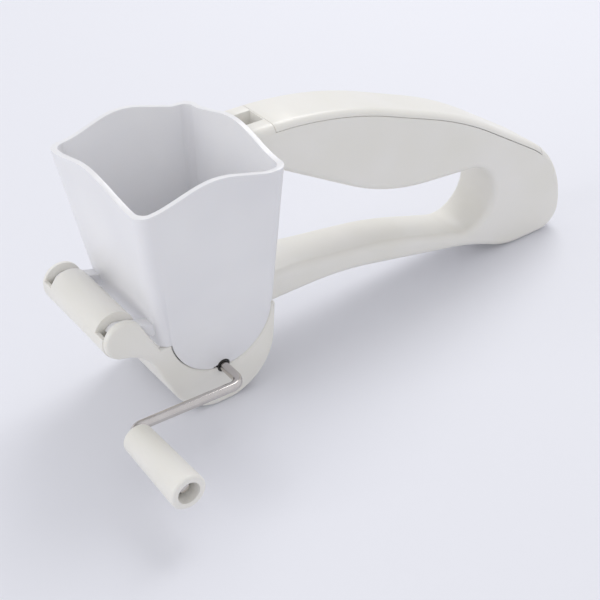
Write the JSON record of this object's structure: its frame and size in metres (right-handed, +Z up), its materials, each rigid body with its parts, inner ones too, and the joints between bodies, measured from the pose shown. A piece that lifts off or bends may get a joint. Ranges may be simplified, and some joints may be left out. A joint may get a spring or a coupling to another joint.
{
  "type": "herb grinder",
  "caption": "Hand cranked herb mill: a flared hopper hinged over a trough of toothed discs, a bent rod crank with a turned knob, and a pull-off C-shaped grip.",
  "frame": {"origin": "on the table, in the mid-plane between the side plates, straight under the crank's axle", "axes": "+X from the hinge at the front to the grip at the back, -Y to the crank's side, +Z up"},
  "size_m": [0.2594, 0.1167, 0.108],
  "materials": {
    "cream_plastic": "ivory ABS moulding, satin gloss",
    "white_plastic": "cool white ABS moulding, satin gloss",
    "bearing_plastic": "black acetal, matt",
    "spacer_plastic": "natural acetal, matt",
    "polished_steel": "polished stainless steel rod",
    "brushed_steel": "stamped stainless steel"
  },
  "bodies": {
    "body": {"cradle": "cream_plastic", "bush_near": "bearing_plastic", "bush_far": "bearing_plastic", "front_comb": "brushed_steel", "rear_comb": "brushed_steel"},
    "hopper": {"hopper": "white_plastic"},
    "handle": {"handle_body": "cream_plastic", "handle_cover": "cream_plastic"},
    "crank": {"crank_rod": "polished_steel", "cutter_disc_1": "brushed_steel", "cutter_disc_2": "brushed_steel", "cutter_disc_3": "brushed_steel", "cutter_disc_4": "brushed_steel", "cutter_disc_5": "brushed_steel", "cutter_disc_6": "brushed_steel", "cutter_disc_7": "brushed_steel", "disc_spacer_1": "spacer_plastic", "disc_spacer_2": "spacer_plastic", "disc_spacer_3": "spacer_plastic", "disc_spacer_4": "spacer_plastic", "disc_spacer_5": "spacer_plastic", "disc_spacer_6": "spacer_plastic", "disc_spacer_7": "spacer_plastic", "disc_spacer_8": "spacer_plastic", "shaft_clip": "brushed_steel", "knob_retainer": "brushed_steel"},
    "knob": {"crank_knob": "cream_plastic"}
  },
  "joints": [
    {"name": "hopper_hinge", "type": "hinge", "parent": "body", "child": "hopper", "pos_m": [-0.041, 0, 0.049], "axis": [0, -1, 0], "range_deg": [0, 110]},
    {"name": "crank_spin", "type": "hinge", "parent": "body", "child": "crank", "pos_m": [0, 0, 0.018], "axis": [0, 1, 0], "continuous": true},
    {"name": "knob_spin", "type": "hinge", "parent": "crank", "child": "knob", "pos_m": [-0.04994, -0.058, 0.02036], "axis": [0, 1, 0], "continuous": true},
    {"name": "handle_slide", "type": "slide", "parent": "body", "child": "handle", "axis": [1, 0, 0], "range_m": [0, 0.04]}
  ]
}
